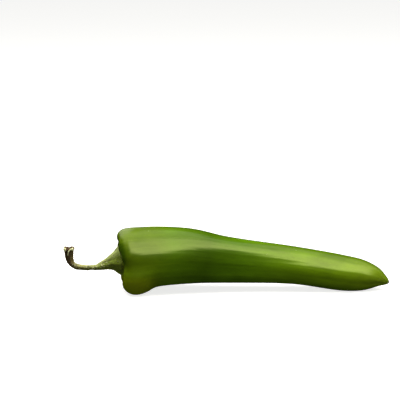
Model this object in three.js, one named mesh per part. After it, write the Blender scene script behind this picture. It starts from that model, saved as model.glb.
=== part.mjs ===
// A long green chilli pepper, picked with its stalk and lying on its side on a table.
// Two pieces: the fruit with its lobed shoulders, and the stalk that spreads into the calyx.
// Millimetres, Z up. The fruit points along +X, and its stalk is at the -X end.
import * as THREE from "three";

// Fruit: its length along the middle line, its largest half height, just behind the shoulders,
// and how much wider than high its sections are.
const POD_LENGTH = 165.9;
const POD_RADIUS = 19.6;
const POD_WIDENING = 1.06;

// The fruit's middle line over the table, from the stalk end to the tip: an arch with its feet
// under the shoulders and just before the tip, drifting gently to the back.
const MIDDLE_LINE = [
  [1.4, -2.1, 19.0],
  [6.5, -1.35, 19.35],
  [13, -0.45, 19.9],
  [20, 0.4, 20.7],
  [28, 0.9, 21.0],
  [45, 1.5, 21.0],
  [63, 1.8, 19.1],
  [87, 2.0, 17.2],
  [112, 2.1, 14.7],
  [136, 2.2, 10.7],
  [148, 2.2, 9.2],
  [157, 2.3, 7.6],
  [166, 2.4, 4.0],
];

// Half section of the fruit as distance along the middle line and radius: up the wall of the
// hollow that holds the calyx, round the shoulder, down the tapering body and round the tip.
const CALYX_HOLLOW = 4.8;
const POD_PROFILE = [
  [CALYX_HOLLOW, 0],
  [4.5, 4],
  [3.5, 8.8],
  [1.1, 11.8],
  [0, 14.0],
  [0.5, 17.0],
  [3.2, 19.1],
  [10, POD_RADIUS],
  [18, 18.85],
  [27, 18.3],
  [44, 17.15],
  [62, 14.7],
  [86, 12.7],
  [111, 11.4],
  [135, 11],
  [147.5, 9.8],
  [156.5, 6.8],
  [161.8, 3.6],
  [165, 1.4],
  [POD_LENGTH, 0],
];

// Furrows between the lobes: where each runs, in degrees from the front up over the top, how deep
// it is at the shoulders, how wide, and how far it reaches down the body. They turn a little on
// their way to the tip, and keep the share of their depth that is the tail. On the shoulders' end
// they are wider, and dent the fruit lengthwise. The last has no depth on the side: it only lets
// the lower lobe at the back end short of the others.
const FURROWS = [
  { angle: -3, depth: 1.9, width: 16, reach: 24, onEnd: 3.0 },
  { angle: 132, depth: 2.4, width: 21, reach: 46, onEnd: 1.9 },
  { angle: 271, depth: 3.2, width: 21, reach: 46, onEnd: 2.5 },
  { angle: 215, depth: 0, width: 26, reach: 46, onEnd: 1.9 },
];
const FURROW_TURN = -18;
const FURROW_TAIL = 0.3;
const FURROW_END_REACH = 6;
const FURROW_END_WIDTH = 1.5;

// Sides of the body that grew flat, with a rounded edge above and below: where the middle of each
// is, how far it lies inside the round, half its width in degrees, and its reach either way.
const FLAT_SIDES = [
  { angle: -1, depth: 1.9, width: 40, along: 68, before: 25, after: 33 },
  { angle: 170, depth: 1.2, width: 38, along: 52, before: 28, after: 45 },
];

// The two lower lobes are fuller than the upper ones, most of all where this is along the body.
const LOWER_LOBES = { angle: 272, depth: -3, width: 75, along: 9, before: 12, after: 9.5 };

// Stalk: its middle line from the cut end to the fruit, in the fruit's frame.
const STALK_LINE = [
  [-28.3, -5.0, 27.8],
  [-28.3, -4.95, 23.3],
  [-27.8, -4.9, 19.6],
  [-26.1, -4.8, 17.3],
  [-23.8, -4.7, 16.1],
  [-20.8, -4.5, 15.6],
  [-16.9, -4.3, 15.4],
  [-13.3, -4.05, 15.4],
  [-10.2, -3.75, 15.9],
  [-7.2, -3.4, 16.9],
  [-4.2, -2.95, 17.9],
  [-1.7, -2.55, 18.5],
  [1.0, -2.15, 18.8],
];

// Radius of the stalk against the distance to the fruit's end: the swollen cut end, the thin
// waist, and the trumpet of the calyx, whose thin rim lies in the hollow of the fruit.
const RIM_RADIUS = 8.4;
const STALK_PROFILE = [
  [-39.0, 2.8],
  [-37.4, 2.5],
  [-34, 2.25],
  [-29, 1.6],
  [-24.5, 1.55],
  [-20, 1.4],
  [-14.5, 1.35],
  [-11.8, 1.9],
  [-8.8, 2.7],
  [-6.4, 3.4],
  [-4.6, 4.2],
  [-3.0, 5.1],
  [-2.1, 5.7],
  [-0.9, 6.7],
  [0.2, 7.7],
  [1.4, RIM_RADIUS],
];
const STALK_RIBS = 5;
const RIB_HEIGHT = 0.09;

// The calyx rim has blunt points, which begin where the trumpet has spread to this radius. Its
// underside keeps a gap to the fruit.
const RIM_POINTS = 6;
const RIM_POINT_LENGTH = 0.35;
const RIM_POINTS_FROM = 5;
const GAP = 0.45;

// The dried cut end: a shallow cup whose torn rim stands higher at the left and right. Each ring
// of the cup has its share of the stalk's radius and its share of the depth.
const CUT_DEPTH = 0.9;
const CUT_RAGGED = 0.6;
const CUT_RINGS = [
  [0.5, 0.8],
  [0.85, 0.1],
];

// Fineness of the meshes: points round each ring, and rings from one profile point to the next.
const POD_SIDES = 56;
const POD_STEPS = 3;
const STALK_SIDES = 30;
const STALK_STEPS = 2;

const podMaterial = new THREE.MeshStandardMaterial({
  color: 0x4f7a12,
  roughness: 0.32,
  metalness: 0,
});
const stalkMaterial = new THREE.MeshStandardMaterial({
  color: 0x7c8043,
  roughness: 0.7,
  metalness: 0,
});

const toRadians = THREE.MathUtils.degToRad;
const BACK = new THREE.Vector3(0, 1, 0);

// A smooth curve through points of two or three numbers each.
function curveThrough(points) {
  const vectors = points.map(([x, y, z = 0]) => new THREE.Vector3(x, y, z));
  return new THREE.CatmullRomCurve3(vectors, false, "centripetal");
}

// Place and axes of the section square to a curve at a distance along it. Past its ends the
// curve is carried on straight.
function sectionAt(curve, distance) {
  const length = curve.getLength();
  const inside = THREE.MathUtils.clamp(distance / length, 0, 1);
  const tangent = curve.getTangentAt(inside);
  const middle = curve.getPointAt(inside);
  middle.addScaledVector(tangent, distance - inside * length);
  const up = new THREE.Vector3().crossVectors(tangent, BACK).normalize();
  const front = new THREE.Vector3().crossVectors(tangent, up);
  return { middle, tangent, front, up };
}

function roundAngles(sides) {
  return Array.from({ length: sides }, (_, side) => (side / sides) * 2 * Math.PI);
}

function pointOn(section, angle, across, high) {
  return section.middle
    .clone()
    .addScaledVector(section.front, Math.cos(angle) * across)
    .addScaledVector(section.up, Math.sin(angle) * high);
}

// Closed mesh over rings of equally many points, with one point closing each end.
function loft(first, rings, last) {
  const sides = rings[0].length;
  const points = [first, ...rings.flat(), last];
  const end = points.length - 1;
  const at = (ring, side) => 1 + ring * sides + (side % sides);
  const index = [];
  for (let side = 0; side < sides; side += 1) {
    index.push(0, at(0, side), at(0, side + 1));
    for (let ring = 0; ring + 1 < rings.length; ring += 1) {
      index.push(at(ring, side), at(ring + 1, side), at(ring + 1, side + 1));
      index.push(at(ring, side), at(ring + 1, side + 1), at(ring, side + 1));
    }
    index.push(at(rings.length - 1, side), end, at(rings.length - 1, side + 1));
  }
  const geometry = new THREE.BufferGeometry().setFromPoints(points);
  geometry.setIndex(index);
  geometry.computeVertexNormals();
  return geometry;
}

const middleLine = curveThrough(MIDDLE_LINE);

// How far round the fruit an angle is from a place given in degrees, as a share of a width.
function widthsAway(angle, place, width) {
  const away = angle - toRadians(place);
  return Math.atan2(Math.sin(away), Math.cos(away)) / toRadians(width);
}

// How much of a furrow there is at an angle, from 1 in its middle line down to 0 on the lobes.
function furrowShare(furrow, width, angle, along) {
  const turned = furrow.angle + FURROW_TURN * (along / POD_LENGTH);
  return Math.exp(-(widthsAway(angle, turned, width) ** 2));
}

function sideDepth(side, angle, along) {
  const reach = along < side.along ? side.before : side.after;
  const fading = Math.exp(-(((along - side.along) / reach) ** 2));
  return side.depth * fading * Math.exp(-(widthsAway(angle, side.angle, side.width) ** 4));
}

// A point of the fruit's skin. The weight of the fruit presses it to small flat spots.
function podPoint(along, radius, angle) {
  const share = radius / POD_RADIUS;
  let inward = 0;
  let onEnd = 0;
  for (const furrow of FURROWS) {
    const onSide = furrowShare(furrow, furrow.width, angle, along);
    const fading = Math.exp(-((along / furrow.reach) ** 2));
    inward += furrow.depth * share * onSide * THREE.MathUtils.lerp(FURROW_TAIL, 1, fading);
    const atEnd = furrowShare(furrow, furrow.width * FURROW_END_WIDTH, angle, along);
    onEnd += furrow.onEnd * share * atEnd * Math.exp(-((along / FURROW_END_REACH) ** 2));
  }
  for (const side of FLAT_SIDES) {
    inward += sideDepth(side, angle, along);
  }
  inward += sideDepth(LOWER_LOBES, angle, along) * share ** 2;
  const section = sectionAt(middleLine, along + onEnd);
  const point = pointOn(section, angle, (radius - inward) * POD_WIDENING, radius - inward);
  point.z = Math.max(point.z, 0);
  return point;
}

function podRing(along, radius) {
  return roundAngles(POD_SIDES).map((angle) => podPoint(along, radius, angle));
}

function makePod() {
  const profile = curveThrough(POD_PROFILE);
  const count = (POD_PROFILE.length - 1) * POD_STEPS;
  const rings = [];
  for (let step = 1; step < count; step += 1) {
    const { x: along, y: radius } = profile.getPoint(step / count);
    rings.push(podRing(along, radius));
  }
  return loft(podPoint(CALYX_HOLLOW, 0, 0), rings, podPoint(POD_LENGTH, 0, 0));
}

function stalkRing(section, radiusAt) {
  return roundAngles(STALK_SIDES).map((angle) => {
    const radius = radiusAt(angle);
    return pointOn(section, angle, radius, radius);
  });
}

function ribbed(radius, angle) {
  return radius * (1 + RIB_HEIGHT * Math.cos(STALK_RIBS * angle));
}

// The ribs of the stalk give way to the blunt points of the rim as the calyx spreads.
function stalkRadius(radius, angle) {
  const spread = THREE.MathUtils.smoothstep(radius, RIM_POINTS_FROM, RIM_RADIUS);
  const points = RIM_POINT_LENGTH * Math.cos(RIM_POINTS * angle);
  return THREE.MathUtils.lerp(ribbed(radius, angle), radius + points, spread);
}

// The dried cut end, from the bottom of its cup up to the torn rim.
function cutRing(section, radius, sunk, ragged) {
  return roundAngles(STALK_SIDES).map((angle) => {
    const across = ribbed(radius, angle);
    const along = CUT_DEPTH * sunk + ragged * Math.cos(2 * angle);
    return pointOn(section, angle, across, across).addScaledVector(section.tangent, along);
  });
}

function makeStalk() {
  const line = curveThrough(STALK_LINE);
  const length = line.getLength();
  const cutRadius = STALK_PROFILE[0][1];
  const cut = sectionAt(line, 0);
  const rings = CUT_RINGS.map(([share, sunk]) =>
    cutRing(cut, cutRadius * share, sunk, CUT_RAGGED * share),
  );

  const profile = curveThrough(STALK_PROFILE);
  const count = (STALK_PROFILE.length - 1) * STALK_STEPS;
  for (let step = 0; step <= count; step += 1) {
    const { x: along, y: radius } = profile.getPoint(step / count);
    const section = sectionAt(line, Math.max(length + along, 0));
    rings.push(stalkRing(section, (angle) => stalkRadius(radius, angle)));
  }

  // The edge of the rim, and the underside that faces the hollow of the fruit.
  const [, [hollowFloor, floorRadius], [hollowEdge, hollowRadius]] = POD_PROFILE;
  const edge = sectionAt(middleLine, hollowEdge - 2 * GAP);
  rings.push(stalkRing(edge, (angle) => stalkRadius(RIM_RADIUS, angle)));
  const lip = sectionAt(middleLine, hollowEdge - GAP);
  rings.push(stalkRing(lip, (angle) => stalkRadius(hollowRadius - GAP, angle)));
  const floor = sectionAt(middleLine, hollowFloor - GAP);
  rings.push(stalkRing(floor, () => floorRadius));
  const seat = sectionAt(middleLine, CALYX_HOLLOW - GAP).middle;

  const cupBottom = cut.middle.clone().addScaledVector(cut.tangent, CUT_DEPTH);
  return loft(cupBottom, rings, seat);
}

const pod = new THREE.Mesh(makePod(), podMaterial);
pod.name = "pod";

const stalk = new THREE.Mesh(makeStalk(), stalkMaterial);
stalk.name = "stalk";

// The origin is under the middle of the whole pepper, on the table.
const pepper = new THREE.Group();
pepper.add(pod, stalk);
const middle = new THREE.Box3().setFromObject(pepper).getCenter(new THREE.Vector3());
for (const piece of [pod, stalk]) {
  piece.position.set(-middle.x, -middle.y, 0);
}

export default pepper;
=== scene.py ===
import math

import bpy
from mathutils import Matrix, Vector, noise
from mathutils.geometry import interpolate_bezier
from mathutils.kdtree import KDTree


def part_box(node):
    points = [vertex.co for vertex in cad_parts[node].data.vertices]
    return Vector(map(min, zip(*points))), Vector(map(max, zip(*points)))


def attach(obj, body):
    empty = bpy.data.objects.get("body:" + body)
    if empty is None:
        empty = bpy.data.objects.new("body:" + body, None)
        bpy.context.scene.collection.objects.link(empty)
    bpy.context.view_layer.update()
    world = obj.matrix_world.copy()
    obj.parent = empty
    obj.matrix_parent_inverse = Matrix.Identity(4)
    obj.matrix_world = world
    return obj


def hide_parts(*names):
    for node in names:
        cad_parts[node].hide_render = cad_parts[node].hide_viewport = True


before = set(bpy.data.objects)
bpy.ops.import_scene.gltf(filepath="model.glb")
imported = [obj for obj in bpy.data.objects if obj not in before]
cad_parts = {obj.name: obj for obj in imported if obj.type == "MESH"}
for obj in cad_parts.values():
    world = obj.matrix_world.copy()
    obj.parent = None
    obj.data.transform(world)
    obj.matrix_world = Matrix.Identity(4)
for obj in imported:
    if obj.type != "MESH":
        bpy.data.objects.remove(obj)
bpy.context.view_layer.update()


# The fruit: one hollow green pod that grew in one piece, with three lobes at its shoulders.
# It is firm flesh under a thin waxy skin, and lies on its side on two lobes and the tip.

# Where the fruit's own zero, its stalk end, lies in the frame, and its middle line from there.
FRUIT_START = Vector((-0.06713, 0.00045, 0))
POD_LINE = [
    (0.0014, -0.0021, 0.0190),
    (0.0065, -0.00135, 0.01935),
    (0.013, -0.00045, 0.0199),
    (0.020, 0.0004, 0.0207),
    (0.028, 0.0009, 0.0210),
    (0.045, 0.0015, 0.0210),
    (0.063, 0.0018, 0.0191),
    (0.087, 0.0020, 0.0172),
    (0.112, 0.0021, 0.0147),
    (0.136, 0.0022, 0.0107),
    (0.148, 0.0022, 0.0092),
    (0.157, 0.0023, 0.0076),
    (0.166, 0.0024, 0.0040),
]
POD_LENGTH = 0.1659
LINE_STEPS = 24
BACK = Vector((0, 1, 0))

# Points of a node's mesh that are closer than this are one point, and triangles are paired where
# they bend and skew less than this, by the grid of rings that they were made from.
MERGE_DISTANCE = 0.00001
PAIR_BEND = math.radians(50)
PAIR_SKEW = math.radians(60)
PAIR_BY_GRID = 1.5


def copy_of_node(node, name):
    """A new piece with a copy of a node's mesh, its triangles merged and paired into quads."""
    bpy.ops.object.select_all(action="DESELECT")
    piece = bpy.data.objects.new(name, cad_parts[node].data.copy())
    piece.data.name = name
    bpy.context.collection.objects.link(piece)
    bpy.context.view_layer.objects.active = piece
    piece.select_set(True)
    bpy.ops.mesh.customdata_custom_splitnormals_clear()
    bpy.ops.object.mode_set(mode="EDIT")
    bpy.ops.mesh.select_all(action="SELECT")
    bpy.ops.mesh.remove_doubles(threshold=MERGE_DISTANCE)
    bpy.ops.mesh.tris_convert_to_quads(
        face_threshold=PAIR_BEND, shape_threshold=PAIR_SKEW, topology_influence=PAIR_BY_GRID
    )
    bpy.ops.object.mode_set(mode="OBJECT")
    bpy.ops.object.shade_smooth()
    piece.data.materials.clear()
    return piece


def apply_modifier(piece, kind, settings):
    """Adds a modifier with these settings to the active piece and applies it."""
    modifier = piece.modifiers.new(kind.lower(), kind)
    for setting, value in settings.items():
        setattr(modifier, setting, value)
    bpy.ops.object.modifier_apply(modifier=modifier.name)


def subdivide(piece, levels):
    apply_modifier(piece, "SUBSURF", {"levels": levels, "render_levels": levels})


def smooth_line(points):
    """Points close together on the smooth line through the given ones, in the frame."""
    knots = [FRUIT_START + Vector(point) for point in points]
    knots = [2 * knots[0] - knots[1], *knots, 2 * knots[-1] - knots[-2]]
    line = []
    for before, start, end, after in zip(knots, knots[1:], knots[2:], knots[3:]):
        handles = start + (end - before) / 6, end - (after - start) / 6
        line += interpolate_bezier(start, *handles, end, LINE_STEPS)[:-1]
    return [*line, knots[-2]]


def mark_growth(piece, line):
    """Stores on each point how far along the line it grew, and its side as cosine and sine."""
    tree = KDTree(len(line))
    along = [0.0]
    for place, point in enumerate(line):
        tree.insert(point, place)
        if place:
            along.append(along[-1] + (point - line[place - 1]).length)
    tree.balance()
    growth = piece.data.attributes.new("growth", "FLOAT_VECTOR", "POINT")
    for vertex in piece.data.vertices:
        middle, place, _ = tree.find(vertex.co)
        ahead, behind = line[min(place + 1, len(line) - 1)], line[max(place - 1, 0)]
        tangent = (ahead - behind).normalized()
        up = tangent.cross(BACK).normalized()
        front = tangent.cross(up)
        away = vertex.co - middle
        angle = math.atan2(away.dot(up), away.dot(front))
        grown = along[place] + away.dot(tangent)
        growth.data[vertex.index].vector = (grown, math.cos(angle), math.sin(angle))


def side_of(growth):
    """The side on which a point grew, as an angle from the front up over the top."""
    return math.atan2(growth.z, growth.y)


def raise_skin(piece, height, share_at):
    """Moves the active piece's skin out by a height times the share at each point.

    The share comes from the point's place and growth. All of them are returned.
    """
    growth = [point.vector.copy() for point in piece.data.attributes["growth"].data]
    shares = [share_at(vertex.co, growth[vertex.index]) for vertex in piece.data.vertices]
    shares = [min(max(share, 0), 1) for share in shares]
    group = piece.vertex_groups.new(name="raised")
    for point, share in enumerate(shares):
        group.add([point], share, "REPLACE")
    apply_modifier(
        piece, "DISPLACE", {"vertex_group": group.name, "strength": height, "mid_level": 0}
    )
    piece.vertex_groups.clear()
    return shares


def grown_noise(growth, along, around):
    """Soft noise from 0 to 1 that is drawn out along the growth."""
    spot = Vector((growth.x * along, growth.y * around, growth.z * around))
    return 0.5 + 0.5 * noise.noise(spot)


def wave(angle):
    """1 where the angle is 0, and 0 half a turn from there."""
    return 0.5 + 0.5 * math.cos(angle)


# The skin is not quite even: it has long soft swellings, fine ribs, and short folds round the
# hollow that holds the calyx. The heights are the most that each stands out.
SWELL_HEIGHT = 0.0006
RIB_HEIGHT = 0.00012
FOLD_HEIGHT = 0.00025
FOLDS = 11
FOLD_WANDER = 1.6
FOLD_REACH = 0.0035

# Soft bulges: how high each is, where its middle lies along the fruit and how far it reaches
# there, and its middle and half its width around, in degrees from the front up.
BULGES = {
    "low on the shoulder": (0.0007, 0.022, 0.016, -5, 38),
    "corner of the shoulder": (0.0007, 0.006, 0.009, 44, 36),
    "high on the side": (0.0011, 0.062, 0.034, 47, 36),
    "low on the side": (0.0004, 0.112, 0.018, -4, 34),
    "tip": (0.0005, 0.155, 0.011, 0, 32),
}


def swelling(place, growth):
    return grown_noise(growth, along=32, around=1.5)


def mound(growth, middle, reach, angle, width):
    """1 in the middle of a soft mound, and 0 past its reach along and its width around."""
    around = math.degrees(side_of(growth)) - angle
    along = min(abs(growth.x - middle) / reach, 1)
    across = min(abs(around) / width, 1)
    return wave(math.pi * along) * wave(math.pi * across)


def fine_ribs(place, growth):
    return grown_noise(growth, along=28, around=8)


def folds(place, growth):
    angle = side_of(growth) + grown_noise(growth, along=0, around=1) * FOLD_WANDER
    fading = math.exp(-((max(growth.x, 0) / FOLD_REACH) ** 2))
    return fading * wave(FOLDS * angle)


pod = copy_of_node("pod", "fruit")
subdivide(pod, 2)
mark_growth(pod, smooth_line(POD_LINE))
# The skin sinks by half of what the swellings raise it, so that the fruit keeps its size.
apply_modifier(pod, "DISPLACE", {"strength": -SWELL_HEIGHT / 2, "mid_level": 0})
raise_skin(pod, SWELL_HEIGHT, swelling)
for bulge_height, *spot in BULGES.values():
    raise_skin(pod, bulge_height, lambda place, growth: mound(growth, *spot))
raise_skin(pod, RIB_HEIGHT, fine_ribs)
raise_skin(pod, FOLD_HEIGHT, folds)


class Term:
    """A socket of a material's nodes, which can stand in sums with numbers and other terms."""

    def __init__(self, tree, socket=None):
        self.tree = tree
        self.socket = socket

    def node(self, kind, settings, sockets, output=0):
        """Adds a node: its settings first, then the values or links of its sockets."""
        made = self.tree.nodes.new(kind)
        for name, value in settings.items():
            if name == "stops":
                ramp = made.color_ramp
                while len(ramp.elements) < len(value):
                    ramp.elements.new(1)
                for element, (position, colour) in zip(ramp.elements, value):
                    element.position = position
                    element.color = colour
            else:
                setattr(made, name, value)
        for name, value in sockets.items():
            if isinstance(value, Term):
                self.tree.links.new(value.socket, made.inputs[name])
            else:
                made.inputs[name].default_value = value
        return Term(self.tree, made.outputs[output] if made.outputs else None)

    def math(self, operation, *values):
        return self.node("ShaderNodeMath", {"operation": operation}, dict(enumerate(values)))

    def __add__(self, other):
        return self.math("ADD", self, other)

    def __sub__(self, other):
        return self.math("SUBTRACT", self, other)

    def __rsub__(self, other):
        return self.math("SUBTRACT", other, self)

    def __mul__(self, other):
        return self.math("MULTIPLY", self, other)

    __radd__ = __add__
    __rmul__ = __mul__


def new_material(name):
    """An empty material and the term that starts its nodes."""
    material = bpy.data.materials.new(name)
    material.use_nodes = True
    material.node_tree.nodes.clear()
    return material, Term(material.node_tree)


def give_surface(start, sockets):
    """Ends a material's nodes with a surface that has these values or terms."""
    surface = start.node("ShaderNodeBsdfPrincipled", {}, sockets)
    start.node("ShaderNodeOutputMaterial", {}, {"Surface": surface})


def paint(red, green, blue):
    """A colour given as it looks on a screen, 0 to 255, as the light it gives back."""
    shares = [value / 255 for value in (red, green, blue)]
    light = [s / 12.92 if s <= 0.04045 else ((s + 0.055) / 1.055) ** 2.4 for s in shares]
    return (*light, 1)


def stored(start, name, output):
    """What the piece's mesh holds on its points under a name."""
    return start.node("ShaderNodeAttribute", {"attribute_name": name}, {}, output)


def object_place(start):
    return start.node("ShaderNodeTexCoord", {}, {}, "Object")


def axis(vector, letter):
    return vector.node("ShaderNodeSeparateXYZ", {}, {0: vector}, letter)


def grain(vector, scale, detail, roughness=0.5):
    """Noise from 0 to 1. In metres, its scale is the number of its spots in a metre."""
    return vector.node(
        "ShaderNodeTexNoise",
        {},
        {"Vector": vector, "Scale": scale, "Detail": detail, "Roughness": roughness},
    )


def grown_grain(growth, along, around, detail, roughness=0.5):
    """Noise from 0 to 1 that is drawn out along the growth."""
    scales = (along, around, around)
    spot = growth.node("ShaderNodeVectorMath", {"operation": "MULTIPLY"}, {0: growth, 1: scales})
    return grain(spot, 1, detail, roughness)


def between(value, low, high):
    """0 below the low value, 1 above the high one, and a soft step in between."""
    return value.node(
        "ShaderNodeMapRange",
        {"interpolation_type": "SMOOTHSTEP"},
        {"Value": value, "From Min": low, "From Max": high},
    )


def blended(factor, first, second):
    """The first colour where the factor is 0, and the second where it is 1."""
    return factor.node(
        "ShaderNodeMix", {"data_type": "RGBA"}, {0: factor, 6: first, 7: second}, 2
    )


def shaded(factor, first, strength):
    """A colour made darker or lighter by a factor round 0.5."""
    lift = (factor - 0.5) * strength + 1
    return factor.node(
        "ShaderNodeVectorMath", {"operation": "SCALE"}, {0: first, "Scale": lift}
    )


def bumped(height, distance, strength):
    """The direction of the surface where a height, 0 to 1, gives it a fine relief."""
    return height.node(
        "ShaderNodeBump",
        {},
        {"Height": height, "Distance": distance, "Strength": strength},
        "Normal",
    )


# The skin is darkest along its middle, and yellower at the shoulders and near the tip.
SKIN_ALONG = [
    (0.0, paint(84, 106, 4)),
    (0.12, paint(80, 106, 4)),
    (0.2, paint(75, 108, 4)),
    (0.32, paint(58, 88, 2)),
    (0.45, paint(77, 114, 4)),
    (0.67, paint(94, 127, 4)),
    (0.82, paint(101, 132, 4)),
    (0.97, paint(108, 132, 16)),
]
OLIVE_PAINTED_REFLECTION = paint(117, 130, 2)
SKIN_VEIN = paint(104, 130, 14)
SKIN_FLECK = paint(120, 146, 50)
DEEP_GREEN_AND_SHADE = paint(44, 70, 2)
SCAR = paint(96, 84, 40)
SKIN_GLANCE = (0.91, 1, 0.4, 1)

# Where these parts of the skin fade in or out: along the fruit, or over the table.
LOBE_END = 0.008, 0.028
LOBE_TOP = 0.009, 0.0155
HOLLOW_END = 0.0016, 0.0042
HOLLOW_BOTTOM = 0.018, 0.022
HOLLOW_TOP = 0.031, 0.036
TIP_WEAR = POD_LENGTH - 0.013, POD_LENGTH - 0.005
TIP_SCAR = POD_LENGTH - 0.0016, POD_LENGTH - 0.0004

skin, start = new_material("waxy_green_skin")
growth = stored(start, "growth", "Vector")
place = object_place(start)
grown = axis(growth, "X")
over = axis(growth, "Z")
height = axis(place, "Z")
share = grown * (1 / POD_LENGTH)
colour = share.node("ShaderNodeValToRGB", {"stops": SKIN_ALONG}, {0: share})

# Dark patches, uneven green, a painted warm reflection in olive on the lower shoulder lobes, and
# painted shade in the hollow round the calyx.
patches = grown_grain(growth, along=26, around=0.9, detail=3)
colour = blended(between(patches, 0.52, 0.72) * 0.45, colour, DEEP_GREEN_AND_SHADE)
tint = grown_grain(growth, along=60, around=2.2, detail=4)
colour = shaded(tint, colour, 0.55)
# Painted reflection: the lower shoulder lobes are lightened towards olive.
lobe_painted_reflection = (1 - between(grown, *LOBE_END)) * (1 - between(height, *LOBE_TOP))
colour = blended(lobe_painted_reflection * 0.8, colour, OLIVE_PAINTED_REFLECTION)
# Painted shade: the skin round the calyx hollow is darkened.
hollow = between(height, *HOLLOW_BOTTOM) * (1 - between(height, *HOLLOW_TOP))
hollow = hollow * (1 - between(grown, *HOLLOW_END))
colour = blended(hollow * 0.85, colour, DEEP_GREEN_AND_SHADE)

# Pale veins, fine mottling, painted shade on top and below towards the tip, and a worn tip with a
# dry scar.
veins = grown_grain(growth, along=22, around=14, detail=3, roughness=0.6)
colour = blended(between(veins, 0.55, 0.75) * 0.22, colour, SKIN_VEIN)
mottle = grain(place, scale=1700, detail=4, roughness=0.6)
colour = shaded(mottle, colour, 0.3)
# Painted shade: the top and the underside of the tip half are darkened.
top_painted_shade = between(over, 0.7, 1) * between(share, 0.5, 0.65)
underside_painted_shade = (1 - between(over, -0.8, -0.4)) * between(share, 0.55, 0.75)
colour = blended(top_painted_shade * 0.5 + underside_painted_shade * 0.6, colour, DEEP_GREEN_AND_SHADE)
peel = grain(place, scale=900, detail=2)
wear = between(grown, *TIP_WEAR) * between(peel, 0.5, 0.62)
colour = blended(wear * 0.5, colour, SKIN_FLECK)
scar = between(grown, *TIP_SCAR)
colour = blended(scar * 0.8, colour, SCAR)

ripple = grown_grain(growth, along=30, around=9, detail=2)
relief = ripple * 0.5 + peel * 0.07
gloss = 0.2 + grain(place, scale=140, detail=3) * 0.1 + scar * 0.4
give_surface(
    start,
    {
        "Base Color": colour,
        "Roughness": gloss,
        "Normal": bumped(relief, distance=0.0006, strength=0.35),
        "Specular Tint": SKIN_GLANCE,
        "IOR": 1.5,
    },
)
pod.data.materials.append(skin)
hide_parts("pod")
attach(pod, "root")


# The stalk: a dry, woody, five-ribbed stem that spreads into the calyx, grown into the hollow
# between the fruit's shoulders. It was cut when the fruit was picked, and its end is torn.
STALK_LINE = [
    (-0.0283, -0.0050, 0.0278),
    (-0.0283, -0.00495, 0.0233),
    (-0.0278, -0.0049, 0.0196),
    (-0.0261, -0.0048, 0.0173),
    (-0.0238, -0.0047, 0.0161),
    (-0.0208, -0.0045, 0.0156),
    (-0.0169, -0.0043, 0.0154),
    (-0.0133, -0.00405, 0.0154),
    (-0.0102, -0.00375, 0.0159),
    (-0.0072, -0.0034, 0.0169),
    (-0.0042, -0.00295, 0.0179),
    (-0.0017, -0.00255, 0.0185),
    (0.0010, -0.00215, 0.0188),
]
stalk_middle = smooth_line(STALK_LINE)
STALK_LENGTH = sum((ahead - point).length for point, ahead in zip(stalk_middle, stalk_middle[1:]))

# It dried in long wrinkles and corky bumps. Veins run out over the calyx to the points of its rim,
# and the cut end is ragged.
WRINKLE_HEIGHT = 0.00035
BUMP_HEIGHT = 0.00028
BUMP_SPACING = 1 / 1300
BUMPS_ON_CALYX = 0.4
VEIN_HEIGHT = 0.0004
VEINS = 6
VEIN_SHARPNESS = 4
CALYX_FROM = STALK_LENGTH - 0.008
RAGGED_HEIGHT = 0.0004
RAGGED_REACH = 0.0012
RAGGED_SPACING = 1 / 1100


def on_calyx(growth, reach):
    """0 on the stem, and 1 on the calyx from a reach past where it begins."""
    return min(max((growth.x - CALYX_FROM) / reach, 0), 1)


def wrinkles(place, growth):
    return grown_noise(growth, along=80, around=3.5)


def corky_bumps(place, growth):
    fading = 1 - (1 - BUMPS_ON_CALYX) * on_calyx(growth, 0.004)
    return fading * max(noise.noise(place / BUMP_SPACING) * 2, 0)


def calyx_veins(place, growth):
    return on_calyx(growth, 0.006) * wave(VEINS * side_of(growth)) ** VEIN_SHARPNESS


def ragged_end(place, growth):
    near = 1 - min(max(growth.x / RAGGED_REACH, 0), 1)
    return near * (0.5 + noise.noise(place / RAGGED_SPACING))


stalk = copy_of_node("stalk", "stalk_and_calyx")
subdivide(stalk, 3)
mark_growth(stalk, stalk_middle)
raise_skin(stalk, WRINKLE_HEIGHT, wrinkles)
raise_skin(stalk, VEIN_HEIGHT, calyx_veins)
bump_shares = raise_skin(stalk, BUMP_HEIGHT, corky_bumps)
raise_skin(stalk, RAGGED_HEIGHT, ragged_end)
bumps_kept = stalk.data.attributes.new("corky_bumps", "FLOAT", "POINT")
bumps_kept.data.foreach_set("value", bump_shares)

# Brown and dry towards the cut, green towards the fruit, with painted light on the upper side and
# painted shade below: a lit and a shaded copy of each colour.
PAINTED_SHADE_RAMP = [
    (0.0, paint(66, 46, 16)),
    (0.25, paint(76, 58, 20)),
    (0.42, paint(100, 98, 34)),
    (0.7, paint(104, 120, 28)),
    (1.0, paint(102, 120, 16)),
]
PAINTED_LIGHT_RAMP = [
    (0.0, paint(88, 70, 28)),
    (0.25, paint(112, 98, 44)),
    (0.42, paint(186, 184, 108)),
    (0.7, paint(160, 172, 92)),
    (1.0, paint(150, 168, 84)),
]
CORK_AND_PAINTED_HIGHLIGHT = paint(214, 216, 160)
WOOD_DARK = paint(44, 36, 14)
HEART = paint(78, 58, 30)
DRY_GLOSS = 0.25

wood, start = new_material("dry_green_stalk")
growth = stored(start, "growth", "Vector")
place = object_place(start)
grown = axis(growth, "X")
over = axis(growth, "Z")
bumps = stored(start, "corky_bumps", "Fac")
share = grown * (1 / STALK_LENGTH)
# Painted shade and painted light: the lower side takes the shaded copy, the upper side the lit
# one.
painted_shade_colour = share.node("ShaderNodeValToRGB", {"stops": PAINTED_SHADE_RAMP}, {0: share})
painted_light_colour = share.node("ShaderNodeValToRGB", {"stops": PAINTED_LIGHT_RAMP}, {0: share})

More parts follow.
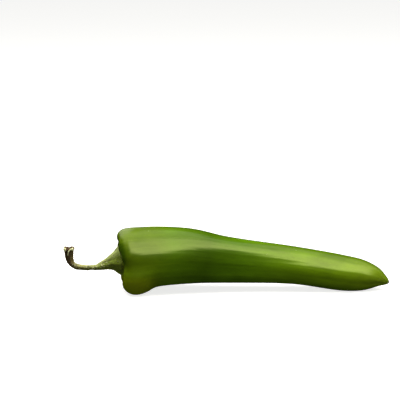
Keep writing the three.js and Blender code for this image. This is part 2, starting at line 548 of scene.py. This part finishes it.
# The edge of the painted light runs along the fibres, and reaches farther down on the calyx.
fibres = grown_grain(growth, along=130, around=5, detail=4, roughness=0.6)
spread = between(share, 0.62, 0.85)
painted_light_mask = between(over + fibres * 0.7 - 0.35 - spread * 0.2, 0.26, 0.64)
colour = blended(painted_light_mask, painted_shade_colour, painted_light_colour)
colour = shaded(fibres, colour, 1.3)

# Corky bumps, paler on their upper side as painted light, specks of painted highlight on the lit
# side, dark pits, and the brown heart of the wood at the cut.
painted_highlight_specks = between(grain(place, scale=1500, detail=2), 0.5, 0.62)
raised = between(bumps, 0.25, 0.8) * between(share, 0.12, 0.35)
# Corky bumps are partly real cork colour and partly painted light, paler towards the top.
colour = blended(raised * between(over, -0.5, 0.5) * 0.8, colour, CORK_AND_PAINTED_HIGHLIGHT)
# Specks of painted highlight, only on the lit side.
colour = blended(painted_highlight_specks * painted_light_mask * between(share, 0.2, 0.4) * 0.6, colour, CORK_AND_PAINTED_HIGHLIGHT)
pits = grain(place, scale=1500, detail=3, roughness=0.6)
colour = blended(between(pits, 0.49, 0.6) * 0.75, colour, WOOD_DARK)
cut = 1 - between(grown + fibres * 0.0008, 0.0005, 0.0012)
colour = blended(cut * 0.85, colour, HEART)
give_surface(
    start,
    {
        "Base Color": colour,
        "Roughness": 0.6,
        "Normal": bumped(fibres * 0.7 + pits * 0.3, distance=0.0005, strength=0.5),
        "Specular IOR Level": DRY_GLOSS,
    },
)
stalk.data.materials.append(wood)
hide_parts("stalk")
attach(stalk, "root")


# The torn fibres: pale scraps of the stalk's pith, left standing at the left and right of the
# cut where the stalk was torn off, and one thin strand that hangs down in front of it.

# Each fibre's route from its root in the stalk, measured from the middle of the cut, with its
# width there.
CUT_MIDDLE = FRUIT_START + Vector(STALK_LINE[0])
LEFT_SCRAP = [
    ((-0.0017, -0.0014, -0.0014), 0.0013),
    ((-0.0023, -0.0024, -0.0009), 0.0019),
    ((-0.0026, -0.0026, -0.0001), 0.0021),
    ((-0.0021, -0.0023, 0.0007), 0.0012),
]
RIGHT_SCRAP = [
    ((0.0018, -0.0016, -0.0014), 0.0008),
    ((0.0022, -0.0025, -0.0009), 0.0012),
    ((0.0024, -0.0026, -0.0001), 0.0013),
    ((0.0022, -0.0022, 0.0006), 0.0007),
]
STRAND = [
    ((0.0018, -0.0018, -0.0003), 0.0007),
    ((0.0012, -0.0033, -0.0001), 0.0008),
    ((0.0004, -0.0038, -0.0008), 0.0008),
    ((-0.0001, -0.0037, -0.0018), 0.0007),
    ((-0.0004, -0.0034, -0.0030), 0.0006),
    ((-0.0007, -0.0031, -0.0044), 0.0003),
]
FIBRE_SIDES = 8


def torn_fibre(name, route):
    """Rings along a route, as wide as given, bridged into a strip and closed at both ends."""
    bpy.ops.object.select_all(action="DESELECT")
    spots = [CUT_MIDDLE + Vector(spot) for spot, _ in route]
    for place, (spot, (_, width)) in enumerate(zip(spots, route)):
        way = spots[min(place + 1, len(spots) - 1)] - spots[max(place - 1, 0)]
        bpy.ops.mesh.primitive_circle_add(
            vertices=FIBRE_SIDES,
            radius=width / 2,
            location=spot,
            rotation=way.to_track_quat("Z", "X").to_euler(),
        )
        if not place:
            fibre = bpy.context.object
            fibre.name = name
            bpy.ops.object.mode_set(mode="EDIT")
    bpy.ops.mesh.select_all(action="SELECT")
    bpy.ops.mesh.bridge_edge_loops()
    bpy.ops.mesh.select_all(action="SELECT")
    bpy.ops.mesh.fill_holes(sides=FIBRE_SIDES)
    bpy.ops.mesh.select_all(action="SELECT")
    bpy.ops.mesh.normals_make_consistent(inside=False)
    bpy.ops.object.mode_set(mode="OBJECT")
    bpy.ops.object.transform_apply(location=True, rotation=True, scale=True)
    subdivide(fibre, 2)
    bpy.ops.object.shade_smooth()
    return fibre


PITH = paint(232, 236, 186)
PITH_SHADE = paint(176, 172, 118)

pith, start = new_material("pale_torn_pith")
crumbs = grain(object_place(start), scale=1600, detail=3, roughness=0.6)
give_surface(
    start,
    {
        "Base Color": blended(between(crumbs, 0.4, 0.65), PITH, PITH_SHADE),
        "Roughness": 0.7,
        "Normal": bumped(crumbs, distance=0.0004, strength=0.5),
        "Specular IOR Level": DRY_GLOSS,
    },
)

for name, route in (
    ("torn_scrap_left", LEFT_SCRAP),
    ("torn_scrap_right", RIGHT_SCRAP),
    ("torn_strand", STRAND),
):
    fibre = torn_fibre(name, route)
    fibre.data.materials.append(pith)
    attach(fibre, "root")


# The stage: a plain pale floor under a pale sky, soft lights above and low in front, and the
# camera, which looks down a little from the front.
FLOOR_SIZE = 12
bpy.ops.object.select_all(action="DESELECT")
bpy.ops.mesh.primitive_plane_add(size=FLOOR_SIZE)
floor = bpy.context.object
floor.name = "floor"
pale, start = new_material("pale_floor")
give_surface(
    start,
    {
        "Base Color": (0.6, 0.6, 0.6, 1),
        "Roughness": 0.9,
        "Emission Color": (1, 1, 1, 1),
        "Emission Strength": 0.76,
    },
)
floor.data.materials.append(pale)
floor.visible_diffuse = False
floor.visible_glossy = False

world = bpy.data.worlds.new("studio")
bpy.context.scene.world = world
world.use_nodes = True
sky = world.node_tree.nodes["Background"]
sky.inputs["Color"].default_value = (1, 1, 0.9, 1)
sky.inputs["Strength"].default_value = 0.22
world.cycles_visibility.glossy = False

SOFTBOX_REACH = 0.9
SOFTBOX_COLOUR = (1, 0.97, 0.9)


def softbox(name, low, high, left, right, radiance):
    """A flat soft light between two heights, in degrees over the horizon from the front."""
    ends = [
        Vector((0, -math.cos(math.radians(a)), math.sin(math.radians(a)))) * SOFTBOX_REACH
        for a in (low, high)
    ]
    rise = ends[1] - ends[0]
    light = bpy.data.lights.new(name, "AREA")
    light.shape = "RECTANGLE"
    light.size = right - left
    light.size_y = rise.length
    light.energy = radiance * math.pi * light.size * light.size_y
    light.color = SOFTBOX_COLOUR
    lamp = bpy.data.objects.new(name, light)
    bpy.context.collection.objects.link(lamp)
    lamp.location = (ends[0] + ends[1]) / 2 + Vector(((left + right) / 2, 0, 0))
    lamp.rotation_euler = (math.atan2(rise.z, rise.y), 0, 0)
    lamp.visible_camera = False
    return lamp


# Two soft lights light the pepper. Three that it only mirrors give its long highlight, and one
# behind gives the pale edge on top of the shoulders.
for lamp in (
    softbox("overhead_softbox", low=56, high=116, left=-0.7, right=0.9, radiance=4.6),
    softbox("fill_softbox", low=-10, high=30, left=-0.7, right=0.9, radiance=0.28),
):
    lamp.visible_glossy = False
for lamp in (
    softbox("low_highlight", low=31, high=56, left=-0.09, right=1.1, radiance=6.2),
    softbox("middle_highlight", low=56, high=88, left=-0.19, right=1.1, radiance=4.2),
    softbox("top_highlight", low=88, high=130, left=-0.7, right=1.1, radiance=1.2),
    softbox("back_highlight", low=130, high=165, left=-0.7, right=-0.12, radiance=1.3),
):
    lamp.visible_diffuse = False

# The lens and the sensor's width in millimetres, the picture's width in pixels, and how far the
# camera looks down.
LENS = 150
SENSOR = 36
PICTURE = 400
VIEW_HEIGHT = math.radians(15)
MILLIMETRES_PER_PIXEL = 0.607
PIXELS_PER_METRE = 1000 / MILLIMETRES_PER_PIXEL

# Where the left end of the pod and the table under its middle line show in the photograph, and
# how far right of the picture's middle and below it the frame's origin then shows, in pixels.
POD_END_COLUMN = 116.3
TABLE_ROW = 290.4
VIEW_SINE = math.sin(VIEW_HEIGHT)
ORIGIN_RIGHT = POD_END_COLUMN - PICTURE / 2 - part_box("pod")[0].x * PIXELS_PER_METRE
ORIGIN_BELOW = TABLE_ROW - PICTURE / 2 + FRUIT_START.y * VIEW_SINE * PIXELS_PER_METRE

drop = math.atan(ORIGIN_BELOW / PICTURE * SENSOR / LENS)
distance = PICTURE * LENS / SENSOR / PIXELS_PER_METRE / math.cos(drop)
camera_data = bpy.data.cameras.new("camera")
camera_data.lens = LENS
camera_data.sensor_width = SENSOR
camera_data.clip_start = 0.01
camera_data.clip_end = 50
camera = bpy.data.objects.new("camera", camera_data)
bpy.context.collection.objects.link(camera)
camera.location = (
    -ORIGIN_RIGHT / PIXELS_PER_METRE,
    -distance * math.cos(VIEW_HEIGHT),
    distance * math.sin(VIEW_HEIGHT),
)
camera.rotation_euler = (math.pi / 2 - (VIEW_HEIGHT - drop), 0, 0)
bpy.context.scene.camera = camera
bpy.context.scene.view_settings.view_transform = "Standard"
